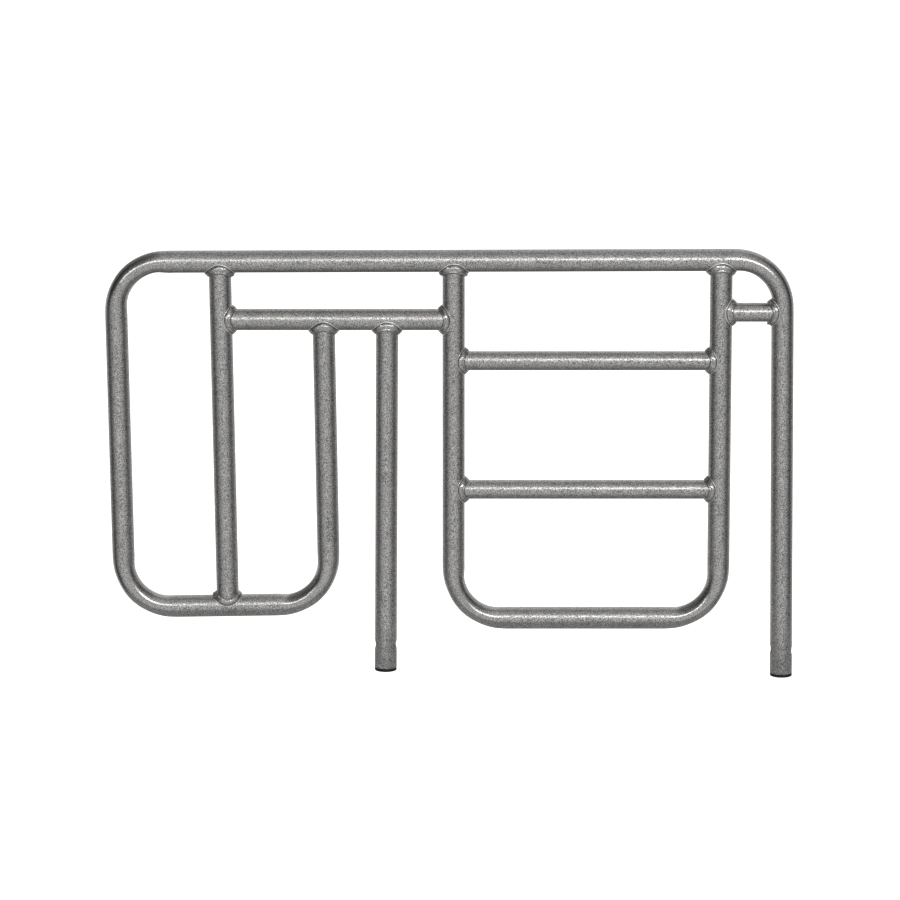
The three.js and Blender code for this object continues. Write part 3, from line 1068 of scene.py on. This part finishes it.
# Light from round the part, as (share of the way from front to back, brightness) steps: from the sides, from
# above and from below, and how sharply one gives way to the next
LEVEL_RING = (
    (0.0, 0.74), (0.07, 0.7), (0.14, 0.58), (0.25, 0.36), (0.38, 0.14),
    (0.46, 0.05), (0.54, 0.06), (0.64, 0.28), (0.76, 0.55), (0.9, 0.65),
)
UPPER_RING = (
    (0.0, 0.78), (0.1, 0.8), (0.25, 0.68), (0.4, 0.55), (0.5, 0.48), (0.6, 0.54), (0.7, 0.7), (0.85, 0.8),
)
LOWER_RING = (
    (0.0, 0.76), (0.2, 0.66), (0.4, 0.48), (0.5, 0.34), (0.6, 0.18), (0.76, 0.16), (0.88, 0.2), (1.0, 0.4),
)
RING_SHARPNESS = 2.5

# The unlit upper left corner of the studio: how far into the corner it starts and ends, and the share of the
# light outside it and inside it
DARK_CORNER = (0.04, 0.2, 1.0, 0.4)

WHITE = (1, 1, 1, 1)
BLACK = (0, 0, 0, 1)

# Soft lamps: place, aim, width, height and power
LAMPS = {
    "key_strip": ((-0.6, -2.4, 1.22), (-0.6, 0, 0.25), 4.2, 0.36, 14.6),
    "key_right": ((0.32, -2.4, 1.22), (-0.1, 0, 0.25), 0.75, 0.36, 3.7),
}


def make_level_plane(name, middle_x, drop, size, material):
    """A level plane under the part. Size is along X and along Y."""
    bpy.ops.mesh.primitive_plane_add(size=1, location=(middle_x, 0, cad_box[0].z - drop))
    plane = bpy.context.object
    plane.name = name
    plane.scale = (*size, 1)
    plane.data.materials.append(material)
    return plane


def make_floor():
    """A plain near-white floor that nothing reflects."""
    material, nodes = new_material("floor_paint")
    set_surface(nodes, {
        "Base Color": FLOOR_GREY,
        "Roughness": FLOOR_ROUGHNESS,
        "Emission Color": WHITE,
        "Emission Strength": FLOOR_GLOW,
    })
    floor = make_level_plane("floor", 0, FLOOR_DROP, (FLOOR_SIZE, FLOOR_SIZE), material)
    floor.visible_glossy = False
    floor.visible_diffuse = False


def make_near_floor():
    """The floor close under the rail, which only the rail's own surfaces see."""
    material, nodes = new_material("near_floor_paint")
    set_surface(nodes, {
        "Base Color": BLACK,
        "Specular IOR Level": 0,
        "Emission Color": WHITE,
        "Emission Strength": NEAR_FLOOR_GLOW,
    })
    middle = (NEAR_FLOOR_FROM + NEAR_FLOOR_TO) / 2
    size = (NEAR_FLOOR_TO - NEAR_FLOOR_FROM, NEAR_FLOOR_DEPTH)
    patch = make_level_plane("near_floor", middle, NEAR_FLOOR_DROP, size, material)
    patch.visible_camera = False


def studio_level(nodes):
    """How bright the studio is in each direction."""
    split = nodes.add("ShaderNodeSeparateXYZ")
    nodes.feed(nodes.add("ShaderNodeTexCoord").outputs["Generated"], split.inputs[0])
    x, y, z = (split.outputs[key] for key in "XYZ")
    back = nodes.math("MULTIPLY", nodes.math("ADD", y, 1.0), 0.5)
    above = nodes.math("GREATER_THAN", z, 0.0)
    height = nodes.math("MULTIPLY", z, z)
    steep = nodes.math("DIVIDE", height, nodes.math("ADD", height, nodes.math("MULTIPLY", x, x)))
    steep = nodes.math("POWER", steep, RING_SHARPNESS)
    upright = nodes.mix(above, nodes.ramp(back, LOWER_RING), nodes.ramp(back, UPPER_RING))
    level = nodes.mix(steep, nodes.ramp(back, LEVEL_RING), upright)
    corner = nodes.math("MULTIPLY", nodes.math("MULTIPLY", x, -1.0), nodes.math("MAXIMUM", z, 0.0))
    return nodes.scaled(level, nodes.remap(corner, *DARK_CORNER, smooth=True))


def make_world():
    """A soft studio round the part: pale in front and behind, dark at the sides, dimmer above and below. The
    part is seen against white."""
    world = bpy.data.worlds.new("studio")
    bpy.context.scene.world = world
    world.use_nodes = True
    nodes = Nodes(world.node_tree)
    light = nodes.add("ShaderNodeBackground")
    nodes.feed(studio_level(nodes), light.inputs["Color"])
    seen = nodes.add("ShaderNodeBackground")
    nodes.feed(WHITE, seen.inputs["Color"])
    pick = nodes.add("ShaderNodeMixShader")
    nodes.feed(nodes.add("ShaderNodeLightPath").outputs["Is Camera Ray"], pick.inputs[0])
    nodes.feed(light.outputs[0], pick.inputs[1])
    nodes.feed(seen.outputs[0], pick.inputs[2])
    nodes.feed(pick.outputs[0], nodes.add("ShaderNodeOutputWorld").inputs["Surface"])


def make_lamp(name, place, aim, width, height, power):
    """A soft rectangular lamp pointing at its aim."""
    data = bpy.data.lights.new(name, "AREA")
    data.shape = "RECTANGLE"
    data.size = width
    data.size_y = height
    data.energy = power
    lamp = bpy.data.objects.new(name, data)
    lamp.location = place
    lamp.rotation_euler = (Vector(aim) - Vector(place)).to_track_quat("-Z", "Y").to_euler()
    bpy.context.scene.collection.objects.link(lamp)


def make_camera():
    """A camera far off in front, a little above the part and looking down at its middle."""
    low, high = cad_box
    across, up = VIEW_CENTRE
    centre = Vector(((low.x + high.x) / 2 + across, 0, (low.z + high.z) / 2 + up))
    data = bpy.data.cameras.new("camera")
    data.sensor_width = SENSOR_WIDTH
    data.lens = SENSOR_WIDTH * CAMERA_DISTANCE / VIEW_WIDTH
    camera = bpy.data.objects.new("camera", data)
    back = Vector((0, -math.cos(CAMERA_RISE), math.sin(CAMERA_RISE)))
    camera.location = centre + back * CAMERA_DISTANCE
    camera.rotation_euler = (math.pi / 2 - CAMERA_RISE, 0, 0)
    bpy.context.scene.collection.objects.link(camera)
    bpy.context.scene.camera = camera


make_floor()
make_near_floor()
make_world()
for lamp_name, lamp_values in LAMPS.items():
    make_lamp(lamp_name, *lamp_values)
make_camera()
bpy.context.scene.view_settings.view_transform = "Standard"
